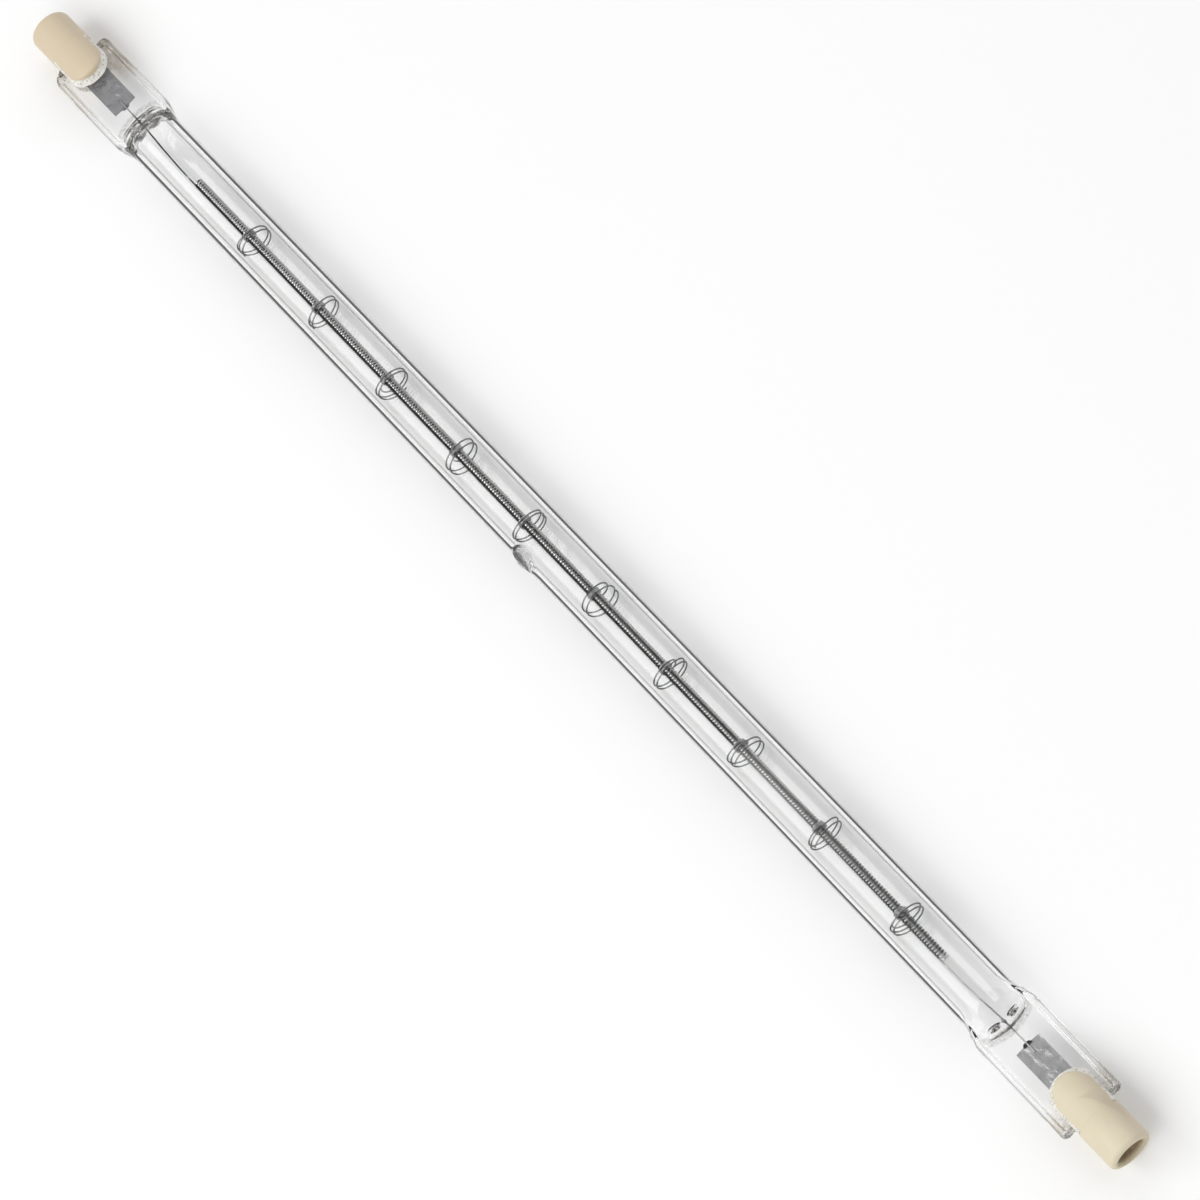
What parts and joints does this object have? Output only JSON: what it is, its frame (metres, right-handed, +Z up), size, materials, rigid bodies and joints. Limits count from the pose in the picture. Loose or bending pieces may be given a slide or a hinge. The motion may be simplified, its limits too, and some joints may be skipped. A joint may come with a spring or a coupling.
{
  "type": "linear halogen bulb",
  "caption": "Double-ended linear halogen bulb: clear quartz tube with pressed flat ends, a long coiled filament on wire supports, and slotted ceramic caps with recessed contacts.",
  "frame": {"origin": "middle of the bulb, on the tube's axis", "axes": "+X along the tube towards the nearer end in the picture, +Y across the press seals, away from the exhaust tip, +Z up, square to the press seals"},
  "size_m": [0.254, 0.0108, 0.009],
  "materials": {
    "quartz": "clear, polished",
    "tungsten": "drawn wire, dull grey",
    "support_wire": "drawn wire, dark grey",
    "molybdenum": "rolled foil and drawn rod, satin",
    "ceramic": "unglazed, fine matte",
    "cement": "rough, chalky",
    "contact": "turned, tarnished"
  },
  "bodies": {
    "root": {"quartz_tube": "quartz", "filament": "tungsten", "filament_support_01": "support_wire", "filament_support_02": "support_wire", "filament_support_03": "support_wire", "filament_support_04": "support_wire", "filament_support_05": "support_wire", "filament_support_06": "support_wire", "filament_support_07": "support_wire", "filament_support_08": "support_wire", "filament_support_09": "support_wire", "filament_support_10": "support_wire", "sealing_foil_left": "molybdenum", "sealing_foil_right": "molybdenum", "outer_lead_left": "molybdenum", "outer_lead_right": "molybdenum", "ceramic_cap_left": "ceramic", "ceramic_cap_right": "ceramic", "cement_left": "cement", "cement_right": "cement", "contact_left": "contact", "contact_right": "contact"}
  },
  "joints": []
}
